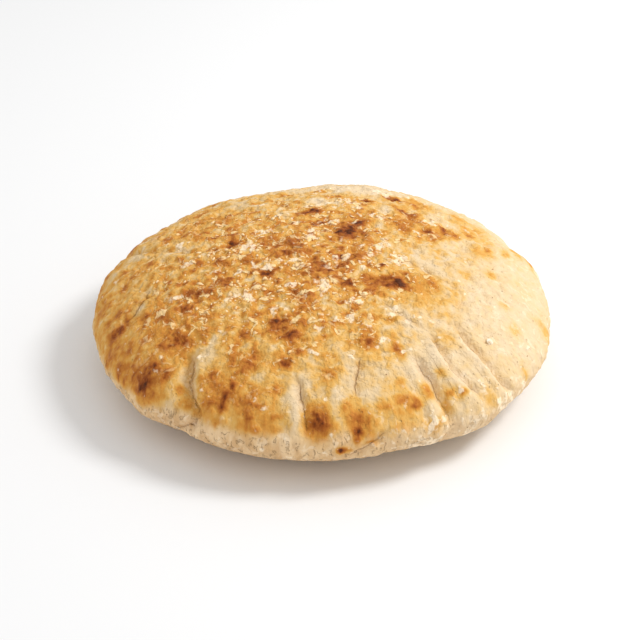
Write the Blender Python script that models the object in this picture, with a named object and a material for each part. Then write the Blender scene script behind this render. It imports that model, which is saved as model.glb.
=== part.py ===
"""A pocket pita: one puffed, uneven round of bread with a domed top, a soft rim and radial folds.

Metres, +Z up. The origin is the middle of the flat patch that the loaf rests on. +X is its right
and -Y its front. An arc share runs down each meridian: 0 at the crown, 1 at the rim and 2 at the
edge of the flat patch.
"""

import math
from collections import namedtuple

import bmesh
import bpy
from mathutils import Vector, noise

# Driving dimensions
WIDTH = 0.170
DEPTH = 0.168
THICKNESS = 0.047
RIM_HEIGHT = 0.016
BASE_PATCH = 0.53  # radius of the flat patch, as a share of the rim's

# How finely the crust is divided
SEGMENTS = 144
RINGS = 34
TOP_RINGS = 20
UNDER_RINGS = 12

# Small unevenness of the puffed dough: broad waves, and bumps on them
WAVE_SIZE = 0.034
WAVE_HEIGHT = 0.0008
BUMP_SIZE = 0.012
BUMP_HEIGHT = 0.0003

CRUST_COLOUR = (0.72, 0.45, 0.19, 1.0)
CRUST_ROUGHNESS = 0.8

# A swell is a broad place where the dough puffed out, or sank where its rise is negative. It
# spreads `wide` degrees round the loaf and `long` arc shares along the meridian.
Swell = namedtuple("Swell", "angle arc rise wide long")
SWELLS = (
    Swell(angle=13, arc=0.90, rise=0.0009, wide=7, long=0.35),
    Swell(angle=75, arc=0.62, rise=0.0010, wide=14, long=0.30),
    Swell(angle=110, arc=0.72, rise=-0.0015, wide=18, long=0.35),
    Swell(angle=140, arc=0.80, rise=-0.0012, wide=14, long=0.40),
    Swell(angle=205, arc=1.10, rise=0.0006, wide=8, long=0.40),
    Swell(angle=221, arc=1.15, rise=0.0012, wide=7, long=0.40),
    Swell(angle=235, arc=1.25, rise=-0.0012, wide=4, long=0.35),
    Swell(angle=252, arc=0.80, rise=0.0008, wide=10, long=0.35),
    Swell(angle=292, arc=1.40, rise=-0.0009, wide=9, long=0.40),
    Swell(angle=315, arc=1.15, rise=0.0018, wide=9, long=0.40),
)

# A fold is a valley that runs down from the crown and fades out under the rim. Its two walls
# differ: the one on the side of smaller angles is `before` wide, and the other is `after` wide.
Fold = namedtuple("Fold", "top_angle rim_angle top_arc rim_arc depth before after")
FOLDS = (
    Fold(top_angle=345, rim_angle=338, top_arc=0.22, rim_arc=0.52, depth=0.0006, before=0.004, after=0.006),
    Fold(top_angle=319, rim_angle=319, top_arc=0.34, rim_arc=1.00, depth=0.0013, before=0.004, after=0.009),
    Fold(top_angle=307, rim_angle=313, top_arc=0.34, rim_arc=0.95, depth=0.0010, before=0.004, after=0.007),
    Fold(top_angle=297, rim_angle=302, top_arc=0.48, rim_arc=1.00, depth=0.0015, before=0.0045, after=0.007),
    Fold(top_angle=284, rim_angle=279, top_arc=0.42, rim_arc=0.80, depth=0.0006, before=0.004, after=0.005),
    Fold(top_angle=263, rim_angle=267, top_arc=0.52, rim_arc=0.92, depth=0.0009, before=0.004, after=0.005),
    Fold(top_angle=226, rim_angle=240, top_arc=0.46, rim_arc=0.92, depth=0.0020, before=0.008, after=0.0045),
    Fold(top_angle=193, rim_angle=204, top_arc=0.48, rim_arc=0.78, depth=0.0008, before=0.005, after=0.004),
    Fold(top_angle=180, rim_angle=158, top_arc=0.28, rim_arc=1.05, depth=0.0014, before=0.006, after=0.005),
    Fold(top_angle=138, rim_angle=133, top_arc=0.78, rim_arc=1.10, depth=0.0010, before=0.005, after=0.006),
    Fold(top_angle=108, rim_angle=112, top_arc=0.80, rim_arc=1.15, depth=0.0012, before=0.005, after=0.006),
    Fold(top_angle=78, rim_angle=74, top_arc=0.78, rim_arc=1.05, depth=0.0010, before=0.005, after=0.006),
    Fold(top_angle=50, rim_angle=53, top_arc=0.76, rim_arc=1.15, depth=0.0011, before=0.006, after=0.005),
    Fold(top_angle=21, rim_angle=26, top_arc=0.60, rim_arc=1.05, depth=0.0011, before=0.004, after=0.006),
    Fold(top_angle=356, rim_angle=352, top_arc=0.70, rim_arc=1.10, depth=0.0005, before=0.005, after=0.005),
)
LIP = 0.35  # height of the swollen edges beside a fold, as a share of its depth
LIP_SPREAD = 2.4  # their reach, in widths of the fold's wall
FADE_UNDER = 0.35  # arc share past its rim end over which a fold dies out


def clear_scene():
    for old in list(bpy.data.objects):
        bpy.data.objects.remove(old)


def smooth_step(value, low, high):
    share = min(max((value - low) / (high - low), 0.0), 1.0)
    return share * share * (3 - 2 * share)


def angle_between(angle, other):
    """Signed difference in degrees, from -180 to 180."""
    return (angle - other + 180) % 360 - 180


def rim_radius(angle):
    """Distance from the middle to the rim, which is a slightly oval round."""
    turn = math.radians(angle)
    return math.hypot(WIDTH / 2 * math.cos(turn), DEPTH / 2 * math.sin(turn))


def meridian(arc):
    """Radius share, height and outward normal (radial part, upward part) at an arc share."""
    if arc <= 1:
        turn = arc * math.pi / 2
        reach, rise = WIDTH / 2, THICKNESS - RIM_HEIGHT
        share, height = math.sin(turn), RIM_HEIGHT + rise * math.cos(turn)
        normal = Vector((math.sin(turn) / reach, math.cos(turn) / rise))
    else:
        turn = (arc - 1) * math.pi / 2
        reach, rise = WIDTH / 2 * (1 - BASE_PATCH), RIM_HEIGHT
        share = BASE_PATCH + (1 - BASE_PATCH) * math.cos(turn)
        height = RIM_HEIGHT * (1 - math.sin(turn))
        normal = Vector((math.cos(turn) / reach, -math.sin(turn) / rise))
    return share, height, normal.normalized()


def fold_depth(fold, angle, arc, radius):
    """How far one fold sinks the crust at this place. It is negative on the fold's swollen edges."""
    down = smooth_step(arc, fold.top_arc, fold.rim_arc)
    middle = fold.top_angle + (fold.rim_angle - fold.top_angle) * down
    across = math.radians(angle_between(angle, middle)) * radius
    width = fold.before if across < 0 else fold.after
    valley = math.exp(-((across / width) ** 2))
    lips = LIP * math.exp(-((across / (LIP_SPREAD * width)) ** 2))
    deepens = smooth_step(arc, fold.top_arc, (fold.top_arc + fold.rim_arc) / 2)
    fades = 1 - smooth_step(arc, fold.rim_arc, fold.rim_arc + FADE_UNDER)
    return fold.depth * deepens * fades * ((1 + LIP) * valley - lips)


def swell_rise(swell, angle, arc):
    """How far one swell puffs the crust out at this place."""
    around = angle_between(angle, swell.angle) / swell.wide
    along = (arc - swell.arc) / swell.long
    return swell.rise * math.exp(-(around**2) - along**2)


def unevenness(place):
    """The dough's broad waves and smaller bumps."""
    wave = noise.noise(place / WAVE_SIZE) * WAVE_HEIGHT
    bump = noise.noise(place / BUMP_SIZE) * BUMP_HEIGHT
    return wave + bump


def crust_point(angle, arc):
    """Where the crust passes at this angle in degrees and this arc share."""
    share, height, normal = meridian(arc)
    turn = math.radians(angle)
    outward = Vector((math.cos(turn), math.sin(turn), 0))
    up = Vector((0, 0, 1))
    radius = rim_radius(angle) * share
    place = outward * radius + up * height
    puffed = sum(swell_rise(swell, angle, arc) for swell in SWELLS)
    sunk = sum(fold_depth(fold, angle, arc, radius) for fold in FOLDS)
    calm = 1 - smooth_step(arc, 1.5, 2.0)
    moved = (unevenness(place) + puffed - sunk) * calm
    return place + (outward * normal[0] + up * normal[1]) * moved


def base_point(angle, share):
    """A point of the flat patch, at this share of the patch's radius."""
    turn = math.radians(angle)
    radius = rim_radius(angle) * BASE_PATCH * share
    return Vector((math.cos(turn) * radius, math.sin(turn) * radius, 0))


def place_on_loaf(unit):
    """Takes a point of the unit sphere to the loaf, ring by ring from the crown to the base."""
    ring = math.acos(max(-1.0, min(1.0, unit.z))) / math.pi * RINGS
    angle = math.degrees(math.atan2(unit.y, unit.x)) % 360
    if ring <= TOP_RINGS:
        return crust_point(angle, ring / TOP_RINGS)
    if ring <= TOP_RINGS + UNDER_RINGS:
        return crust_point(angle, 1 + (ring - TOP_RINGS) / UNDER_RINGS)
    base_rings = RINGS - TOP_RINGS - UNDER_RINGS
    return base_point(angle, (RINGS - ring) / base_rings)


def crust_material():
    material = bpy.data.materials.new("crust")
    material.use_nodes = True
    shader = material.node_tree.nodes["Principled BSDF"]
    shader.inputs["Base Color"].default_value = CRUST_COLOUR
    shader.inputs["Roughness"].default_value = CRUST_ROUGHNESS
    shader.inputs["Metallic"].default_value = 0.0
    return material


def middle_in_plan(shape):
    """The middle of the loaf's box in X and Y, which its uneven rim moves a little."""
    low = [min(vert.co[axis] for vert in shape.verts) for axis in (0, 1)]
    high = [max(vert.co[axis] for vert in shape.verts) for axis in (0, 1)]
    return Vector(((low[0] + high[0]) / 2, (low[1] + high[1]) / 2, 0))


def make_loaf(collection):
    """One closed body: a sphere of rings, each ring taken to its place on the loaf."""
    shape = bmesh.new()
    bmesh.ops.create_uvsphere(shape, u_segments=SEGMENTS, v_segments=RINGS, radius=1)
    for vert in shape.verts:
        vert.co = place_on_loaf(vert.co)
    bmesh.ops.translate(shape, vec=-middle_in_plan(shape), verts=shape.verts)
    bmesh.ops.recalc_face_normals(shape, faces=shape.faces)
    mesh = bpy.data.meshes.new("pita_bread")
    shape.to_mesh(mesh)
    shape.free()
    mesh.shade_smooth()
    mesh.materials.append(crust_material())
    loaf = bpy.data.objects.new("pita_bread", mesh)
    collection.objects.link(loaf)
    return loaf


def main():
    clear_scene()
    collection = bpy.data.collections.new("pita_bread")
    bpy.context.scene.collection.children.link(collection)
    make_loaf(collection)


main()
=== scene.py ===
# %% [markdown]
# # A puffed pocket pita
#
# This lesson dresses one solid: a round loaf of pocket bread, still puffed from the oven. The solid
# already has the true dome, rim and folds. What it lacks is everything that makes bread look baked:
# a fine skin with wrinkles and pores, toast that runs from cream to nearly black, flour that was
# never brushed off, specks of bran, and one crumb from a neighbour.
#
# The solid is loaded first. It is the fixed frame for all that follows, so each place below is
# worked out from it. A material colour is easiest to judge as a screen colour, so `shade` turns one
# into the linear numbers that Blender mixes.

# %% Load the solid
import math
from collections import namedtuple

import bmesh
import bpy
import numpy as np
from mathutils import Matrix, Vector, noise
from mathutils.bvhtree import BVHTree


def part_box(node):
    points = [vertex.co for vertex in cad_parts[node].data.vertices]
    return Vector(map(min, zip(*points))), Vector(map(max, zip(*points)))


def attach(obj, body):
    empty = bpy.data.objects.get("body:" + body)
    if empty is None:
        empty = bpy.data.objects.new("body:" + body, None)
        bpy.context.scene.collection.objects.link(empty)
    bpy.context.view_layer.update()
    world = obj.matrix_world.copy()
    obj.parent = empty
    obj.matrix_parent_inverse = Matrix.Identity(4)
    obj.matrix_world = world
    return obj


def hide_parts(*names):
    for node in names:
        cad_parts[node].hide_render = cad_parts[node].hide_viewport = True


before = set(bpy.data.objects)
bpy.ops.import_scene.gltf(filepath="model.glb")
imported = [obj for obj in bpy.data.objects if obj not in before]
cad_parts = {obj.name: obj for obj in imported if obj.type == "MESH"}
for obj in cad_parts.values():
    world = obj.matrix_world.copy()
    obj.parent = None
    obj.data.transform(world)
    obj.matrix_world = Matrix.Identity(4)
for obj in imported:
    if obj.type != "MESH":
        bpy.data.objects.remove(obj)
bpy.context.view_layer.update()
SOLID = "pita_bread"
low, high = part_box(SOLID)
MM = 0.001
RADIUS = (high.x - low.x) / 2
THICKNESS = high.z - low.z
RIM_HEIGHT = THICKNESS * 0.34  # the widest line is about a third of the way up
BASE_RADIUS = RADIUS * 0.53
print(f"loaf: {2 * RADIUS / MM:.0f} mm across, {THICKNESS / MM:.0f} mm thick")


def shade(red, green, blue):
    """A screen colour, 0 to 255 in each channel, as linear colour with full alpha."""
    parts = [channel / 255 for channel in (red, green, blue)]
    linear = [part / 12.92 if part <= 0.04045 else ((part + 0.055) / 1.055) ** 2.4 for part in parts]
    return (*linear, 1.0)


# %% [markdown]
# ## Camera
#
# The loaf is seen from the front and from well above, from far enough away that its round outline
# hardly distorts. A long lens at 62 cm does that. The camera looks at a point a little below the
# middle of the loaf, which leaves more room under it than over it.

# %% Camera
CAMERA_DISTANCE = 0.62
CAMERA_ELEVATION = math.radians(32)
LENS = 93.8
LOOK_AT = Vector((0, 0, THICKNESS / 2))
AIM_AT = Vector((-0.0007, -0.0043, THICKNESS * 0.353))


def add_camera():
    data = bpy.data.cameras.new("camera")
    data.lens = LENS
    camera = bpy.data.objects.new("camera", data)
    back = Vector((0, -math.cos(CAMERA_ELEVATION), math.sin(CAMERA_ELEVATION)))
    camera.location = LOOK_AT + back * CAMERA_DISTANCE
    camera.rotation_euler = (AIM_AT - camera.location).to_track_quat("-Z", "Y").to_euler()
    bpy.context.scene.collection.objects.link(camera)
    bpy.context.scene.camera = camera
    return camera


camera = add_camera()
print("camera at", [round(value, 3) for value in camera.location])


# %% [markdown]
# ## Floor and light
#
# Bread is matt, so it is lit softly: a bright, even surround, and one large lamp high on the right,
# which leaves the left and the lower front in gentle shade. The floor is plain and nearly white.
# The plain "Standard" view shows colours as they are set.

# %% Floor and light
def add_floor():
    mesh = bpy.data.meshes.new("floor")
    half = 3.0
    corners = [(-half, -half, 0), (half, -half, 0), (half, half, 0), (-half, half, 0)]
    mesh.from_pydata(corners, [], [(0, 1, 2, 3)])
    material = bpy.data.materials.new("floor")
    material.use_nodes = True
    shader = material.node_tree.nodes["Principled BSDF"]
    shader.inputs["Base Color"].default_value = (0.86, 0.86, 0.86, 1)
    shader.inputs["Roughness"].default_value = 0.9
    shader.inputs["Specular IOR Level"].default_value = 0.1
    mesh.materials.append(material)
    floor = bpy.data.objects.new("floor", mesh)
    floor.location.z = low.z - 0.0002
    bpy.context.scene.collection.objects.link(floor)
    return floor


def add_lamp(name, place, size, power):
    data = bpy.data.lights.new(name, "AREA")
    data.shape = "DISK"
    data.size = size
    data.energy = power
    lamp = bpy.data.objects.new(name, data)
    lamp.location = place
    lamp.rotation_euler = (LOOK_AT - lamp.location).to_track_quat("-Z", "Y").to_euler()
    bpy.context.scene.collection.objects.link(lamp)
    return lamp


def add_surround(strength):
    world = bpy.data.worlds.new("surround")
    world.use_nodes = True
    sky = world.node_tree.nodes["Background"]
    sky.inputs["Color"].default_value = (1, 1, 1, 1)
    sky.inputs["Strength"].default_value = strength
    bpy.context.scene.world = world


add_floor()
add_surround(0.79)
add_lamp("key", Vector((0.60, 0.08, 0.72)), size=0.30, power=5.2)
bpy.context.scene.view_settings.view_transform = "Standard"


# %% [markdown]
# ## Where things are on a loaf
#
# A baker would say "a burnt blister half-way up, on the left". Two numbers say the same. The first
# is the angle round the loaf, seen from above, with 0 at the right and 270 at the front. The second
# is the arc share, which runs down the skin: 0 at the crown, 1 at the rim, 2 at the edge of the
# flat base and 3 in its middle. The profile is two quarter-ellipses and a straight line, so
# `profile` turns an arc share into a distance from the axis and a height.

# %% Angles and arc shares
def profile(arc):
    """Distance from the axis and height above the base, for arc shares from 0 to 3."""
    fall = arc * math.pi / 2
    top = (RADIUS * np.sin(fall), RIM_HEIGHT + (THICKNESS - RIM_HEIGHT) * np.cos(fall))
    tuck = (BASE_RADIUS + (RADIUS - BASE_RADIUS) * np.sin(fall), RIM_HEIGHT * (1 + np.cos(fall)))
    base = (BASE_RADIUS * (3 - arc), 0 * arc)
    out = np.where(arc <= 1, top[0], np.where(arc <= 2, tuck[0], base[0]))
    height = np.where(arc <= 1, top[1], np.where(arc <= 2, tuck[1], base[1]))
    return out, height


def places_of(angle, arc):
    """Points of the smooth loaf at these angles and arc shares, as rows."""
    out, height = profile(np.asarray(arc, dtype=float))
    turn = np.radians(angle)
    return np.stack([out * np.cos(turn), out * np.sin(turn), height], axis=-1)


print("rim point at the front:", places_of(270, 1.0).round(4))


# %% [markdown]
# ## The skin
#
# The solid has few, large faces, which is right for handling it and too coarse for wrinkles. The
# skin needs even squares smaller than a millimetre, with most of them on top, where people look. A
# globe made from a cube has no pinched poles, so a cube is cut into a fine grid and each grid point
# becomes a direction. Each direction gets its angle and its arc share, and thus a place on the
# loaf, which then snaps to the solid. A few rounds of smoothing melt the solid's old faces.

# %% Make the fine skin
GRID = 128  # squares along each edge of the cube
TOP_SHARE = 0.56  # share of the way from pole to pole that the top of the loaf takes
SMOOTHING_ROUNDS = 24


def cube_grid():
    shape = bmesh.new()
    bmesh.ops.create_cube(shape, size=2)
    bmesh.ops.subdivide_edges(shape, edges=shape.edges, cuts=GRID - 1, use_grid_fill=True)
    mesh = bpy.data.meshes.new("crust")
    shape.to_mesh(mesh)
    shape.free()
    return mesh


def vertex_values(mesh, name):
    """One three-part value of every vertex, as rows."""
    values = np.empty(len(mesh.vertices) * 3)
    mesh.vertices.foreach_get(name, values)
    return values.reshape(-1, 3)


def angles_and_arcs(mesh):
    """Spreads the grid points over the loaf, evenly along its profile."""
    spread = np.tan(vertex_values(mesh, "co") * math.pi / 4)
    directions = spread / np.linalg.norm(spread, axis=1)[:, None]
    steps = np.linspace(0, 3, 601)
    out, height = profile(steps)
    run = np.concatenate([[0], np.cumsum(np.hypot(np.diff(out), np.diff(height)))])
    top_run = np.interp(1, steps, run)
    under = (run - top_run) / (run[-1] - top_run)
    shares = np.where(run < top_run, TOP_SHARE * run / top_run, TOP_SHARE + (1 - TOP_SHARE) * under)
    from_pole = np.arccos(directions[:, 2].clip(-1, 1)) / math.pi
    angle = np.degrees(np.arctan2(directions[:, 1], directions[:, 0])) % 360
    return angle, np.interp(from_pole, shares, steps)


def snap_to_solid(places):
    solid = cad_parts[SOLID].data
    corners = [vertex.co for vertex in solid.vertices]
    tree = BVHTree.FromPolygons(corners, [tuple(face.vertices) for face in solid.polygons])
    return np.array([tree.find_nearest(Vector(place))[0] for place in places])


def smooth(piece, rounds):
    melt = piece.modifiers.new("melt the old faces", "SMOOTH")
    melt.factor = 0.5
    melt.iterations = rounds
    graph = bpy.context.evaluated_depsgraph_get()
    done = bpy.data.meshes.new_from_object(piece.evaluated_get(graph))
    piece.modifiers.clear()
    piece.data = done


skin = cube_grid()
angles, arcs = angles_and_arcs(skin)
skin.vertices.foreach_set("co", snap_to_solid(places_of(angles, arcs)).ravel())
crust = bpy.data.objects.new("crust", skin)
bpy.context.scene.collection.objects.link(crust)
smooth(crust, SMOOTHING_ROUNDS)
crust.data.shade_smooth()
points = vertex_values(crust.data, "co")
normals = vertex_values(crust.data, "normal")
print(f"{2 * len(crust.data.polygons)} triangles, lowest point {points[:, 2].min() / MM:.2f} mm")


# %% [markdown]
# ## Soft noise, ramps and patches
#
# Nothing on bread is even, and nothing has a clean edge. Four helpers give that. `waves` is smooth
# noise with a size in millimetres. `ramp` steps softly from one level to the next. `turned` grows
# towards one side of the loaf. `patch` is a round or oval place on the skin, 1 in its middle and
# frayed at its edge, as a burn or a dab of flour is. The grid's own spacing is finer than any of
# these, so they can be worked out per point.

# %% Noise, ramps and patches
LENGTHWISE = np.stack([RADIUS * np.cos(np.radians(angles)), RADIUS * np.sin(np.radians(angles)),
                       arcs * RADIUS / 4], axis=1)


def waves(size, seed, rounds=1, places=points):
    """Soft noise at every point, mostly from -1 to 1, with its largest waves `size` mm long."""
    shift = np.array([17.3, 5.9, 11.1]) * seed
    return np.array([noise.fractal(Vector(row), 1.0, 2.0, rounds) for row in places / (size * MM) + shift])


def ramp(values, start, end):
    """0 at start, 1 at end, and a soft step between them."""
    share = np.clip((values - start) / (end - start), 0, 1)
    return share * share * (3 - 2 * share)


def turned(angle):
    """1 on the side of this angle and 0 on the opposite side."""
    return 0.5 + 0.5 * np.cos(np.radians(angles - angle))


def axes_at(angle, arc):
    """The nearest point of the skin with its directions: down the skin, round the loaf, outward."""
    middle = places_of(angle, arc)
    nearest = np.argmin(((points - middle) ** 2).sum(axis=1))
    down = places_of(angle, arc + 0.01) - places_of(angle, arc - 0.01)
    down = down / np.linalg.norm(down)
    around = np.array([-math.sin(math.radians(angle)), math.cos(math.radians(angle)), 0])
    return nearest, down, around, np.cross(down, around)


FRAY = (waves(4.5, seed=1, rounds=3) * 1.3, waves(4.5, seed=2, rounds=3) * 1.3)
OTHER_SIDE = 9  # mm through the loaf, over which a patch fades, so that none shows on the far side


def patch(angle, arc, long, wide, fray=1.0):
    """How much of a patch each point has. Sizes are half its length and half its width in mm."""
    middle, down, around, out = axes_at(angle, arc)
    away = (points - points[middle]) / MM
    ragged = fray * min(1.0, (long + wide) / 5)
    along = away @ down + (FRAY[0] - FRAY[0][middle]) * ragged
    across = away @ around + (FRAY[1] - FRAY[1][middle]) * ragged
    apart = (along / long) ** 2 + (across / wide) ** 2 + (away @ out / OTHER_SIDE) ** 2
    return np.exp(-(apart**1.3) / 1.6)


print("frayed edges wander by up to", round(float(np.abs(FRAY[0]).max()), 1), "mm")

# %% [markdown]
# ## Relief
#
# The solid has the folds that can be felt with a hand. Over them lies a finer relief: blisters on
# the top, where steam lifted the skin, gathers and wrinkles towards the rim, where the dough was
# drawn in, pores at the rim, and pinched creases along the folds. Each crease is given as a short
# route in angles and arc shares. Beside it stands a lip, on the side of larger angles if `lip` is
# 1, and the skin round a dark crease is crinkled. Many stops of these routes were worked out by
# another program and typed in, so the list is not an example to follow.
#
# Three things about the creases are kept for later. The signed distance from the nearest one lets
# the material paint a line of shade that is thinner than a square of the grid. `dark` says how
# strong that painted shade is, and the lips of the paler creases get less toast, which paints a
# highlight along their ridges.

# %% Creases
Crease = namedtuple("Crease", "name lip depth width dark route")
CREASES = (
    Crease("left tuck", 1, 2.6, 1.8, 0.55,
           ((229, 0.58), (229.8, 0.62), (231, 0.65), (232.5, 0.69), (235, 0.75), (237, 0.81),
            (238.5, 0.86), (239, 0.91), (237.5, 0.99), (235.5, 1.15))),
    Crease("left crack", -1, 0.8, 0.8, 0.88,
           ((193.5, 0.53), (194.5, 0.557), (196.5, 0.572), (198, 0.59), (199.3, 0.612), (200.3, 0.636),
            (200.8, 0.66), (201, 0.70))),
    Crease("left notch", 1, 1.2, 1.3, 0.15,
           ((179, 0.66), (181, 0.76), (183, 0.88), (184, 1.05), (184, 1.2))),
    Crease("front tuck", -1, 1.5, 1.3, 0.65,
           ((263, 0.58), (264, 0.64), (265.2, 0.70), (265.8, 0.77), (266.5, 0.83), (267, 0.90))),
    Crease("front crack", -1, 0.6, 0.9, 0.70, ((282.5, 0.50), (281, 0.56), (279.5, 0.62), (279, 0.68))),
    Crease("upper crack", -1, 0.7, 1.0, 0.30,
           ((301, 0.30), (302.3, 0.33), (303.6, 0.366), (305.2, 0.405), (307.3, 0.434),
            (308.7, 0.48))),
    Crease("right pinch", -1, 1.8, 1.5, 0.45,
           ((299, 0.52), (299.3, 0.58), (299.6, 0.64), (300, 0.70), (300, 0.76), (301, 0.83),
            (301.7, 0.93), (303, 1.04))),
    Crease("middle pinch", -1, 1.4, 1.3, 0.32,
           ((308.9, 0.45), (308.6, 0.52), (308, 0.59), (307.6, 0.66), (309, 0.74), (311, 0.82),
            (312, 0.95))),
    Crease("outer pinch", -1, 1.8, 1.4, 0.38,
           ((321, 0.46), (318.5, 0.60), (318.5, 0.71), (319, 0.80), (320, 0.88), (322.5, 1.03))),
    Crease("bottom fold", -1, 1.3, 1.2, 0.45,
           ((286, 0.86), (283, 0.93), (280, 1.00), (278, 1.07), (276, 1.20))),
    Crease("left under fold", 1, 1.0, 1.2, 0.60,
           ((239, 0.93), (238, 1.00), (236.5, 1.08), (235, 1.16), (233, 1.25))),
    Crease("upper ridge", 1, 0.7, 1.3, 0.25, ((345, 0.22), (342, 0.29), (339, 0.34), (337, 0.42))),
    Crease("right step", 1, 0.7, 1.3, 0.15, ((19, 0.72), (21, 0.80), (24, 0.88), (26, 1.00))),
    Crease("back left tuck", 1, 0.9, 1.5, 0.25,
           ((178, 0.34), (172, 0.46), (167, 0.60), (162, 0.76), (159, 0.98))),
    Crease("back pinch", 1, 0.9, 1.4, 0.30, ((110, 0.62), (110, 0.76), (112, 0.90), (112, 1.10))),
    Crease("back right pinch", -1, 0.9, 1.4, 0.30, ((78, 0.66), (76, 0.80), (74, 0.95), (75, 1.10))),
)
STEPS_ALONG = 60


def crease_shape(crease):
    """For the points near one crease: their indices, height and distance in mm, the strength of its painted
    shade, and its painted lip highlight.
    """
    stops = np.linspace(0, 1, len(crease.route))
    share = np.linspace(0, 1, STEPS_ALONG)
    turn, fall = (np.interp(share, stops, column) for column in zip(*crease.route))
    line = snap_to_solid(places_of(turn, fall))
    reach = np.linalg.norm(line - line.mean(axis=0), axis=1).max() + 6 * MM
    near = np.nonzero(np.linalg.norm(points - line.mean(axis=0), axis=1) < reach)[0]
    gaps = np.linalg.norm(points[near][:, None] - line[None], axis=2)
    nearest = gaps.argmin(axis=1)
    way = np.gradient(line, axis=0)
    side = np.cross(normals[near], way[nearest])
    side /= np.linalg.norm(side, axis=1)[:, None]
    across = ((points[near] - line[nearest]) * side).sum(axis=1) / MM + 0.35 * FRAY[0][near]
    fade = (ramp(share, 0, 0.2) * (1 - ramp(share, 0.75, 1)))[nearest]
    valley = np.exp(-((across / crease.width) ** 2))
    lip = np.exp(-(((across - 2.2 * crease.width * crease.lip) / (1.5 * crease.width)) ** 2))
    height = crease.depth * fade * (0.5 * lip - valley)
    return near, height, across, fade * crease.dark, lip * fade * (1 - crease.dark)


FAR_OFF = 6.0  # mm, the distance that points without a crease near them get
creased = np.zeros(len(points))
crease_gap = np.full(len(points), FAR_OFF)
crease_share = np.zeros(len(points))
lip_highlight = np.zeros(len(points))
for crease in CREASES:
    near, height, across, fade, lip = crease_shape(crease)
    creased[near] += height
    lip_highlight[near] = np.maximum(lip_highlight[near], lip)
    pick = np.abs(across) < np.abs(crease_gap[near])
    crease_gap[near[pick]] = across[pick]
    crease_share[near[pick]] = fade[pick]
print(f"{len(CREASES)} creases, the deepest {-creased.min():.1f} mm")

# %% Blisters, wrinkles and pores
# Heights in mm
BLISTERS_EVERYWHERE = 0.20
BLISTERS_ON_TOP = 0.65
CELLS_ON_TOP = 0.55
WRINKLES = 0.60
PORE_DEPTH = 0.45
GATHERS = 0.45
CRINKLES = 0.40
toasted_top = 1 - ramp(arcs, 0.45, 0.80)
near_rim = ramp(arcs, 0.50, 0.85) * (1 - 0.7 * ramp(arcs, 1.05, 1.45))
blisters = waves(5.0, seed=3, rounds=3)
cells = 1 - np.abs(waves(3.6, seed=4, rounds=2)) * 2.2
wrinkles = waves(2.8, seed=5, rounds=3, places=LENGTHWISE)
pores = ramp(waves(2.2, seed=6, rounds=2, places=LENGTHWISE), 0.30, 0.62)
gathers = waves(6.5, seed=7, rounds=2, places=LENGTHWISE)
gathers *= ramp(arcs, 0.35, 0.60) * (1 - ramp(arcs, 1.1, 1.5))
relief = creased + blisters * (BLISTERS_EVERYWHERE + BLISTERS_ON_TOP * toasted_top)
relief += cells * CELLS_ON_TOP * toasted_top
relief += (wrinkles * WRINKLES - pores * PORE_DEPTH) * near_rim + gathers * GATHERS
crinkled = np.exp(-((crease_gap / 4) ** 2)) * ramp(crease_share, 0.1, 0.7)
relief += CRINKLES * crinkled * waves(2.2, seed=8, rounds=2)
relief *= 1 - 0.8 * ramp(arcs, 1.7, 2.0)
moved = points + normals * (relief * MM)[:, None]
moved[:, 2] = np.maximum(moved[:, 2], low.z)
crust.data.vertices.foreach_set("co", moved.ravel())
crust.data.update()
print(f"relief from {relief.min():.2f} to {relief.max():.2f} mm")

# %% [markdown]
# ## Toast
#
# Toast is how long the heat stayed on a place. It is one number for each point: 0 is raw cream, 0.4
# golden, 0.7 brown and 1 burnt. The top of a puffed loaf is nearest to the roof of the oven, so the
# crown is golden all over. One side of the rim faced the fire, and the other stayed pale. Close to
# the rim the toast ends in a raggedly edged band of plain baked dough, here called tan. The base
# lay on the hot stone, which left a blotchy mark.
#
# Shades are patches that are a little browner or paler than what is round them. The wide ones
# follow the shape of the loaf, and the small ones are grouped by where they lie. Noise of three
# sizes then breaks it all up, least on the side and at the left, where the heat was even.
#
# The lists of shades, spots and dabs below are not an example to follow. Most of their places were
# worked out by another program and typed in, not set by hand. The small shades only correct what
# the rest left over, and stand for nothing on a real loaf. Near the creases some of them paint shade
# into a valley, and some paint light where the relief's shade falls.

# %% The broad toast
FIRE_SIDE = 212  # degrees, to the left and a little to the front
EDGE_SIDE = 262  # degrees, where the toast ends highest above the rim
CROWN_TOAST = 0.36
PALEST_RIM = 0.05
edge = 1.06 - 0.20 * turned(EDGE_SIDE) ** 3 + 0.06 * waves(7.0, seed=11, rounds=3, places=LENGTHWISE)
rim_toast = PALEST_RIM + 0.38 * turned(FIRE_SIDE) ** 1.3
outward = ramp(arcs, 0.25, 0.50 + 0.10 * turned(FIRE_SIDE))
toast = CROWN_TOAST + (rim_toast - CROWN_TOAST) * outward
print(f"broad toast: {CROWN_TOAST} on the crown, {rim_toast.min():.2f} to {rim_toast.max():.2f} at the rim")

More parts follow.
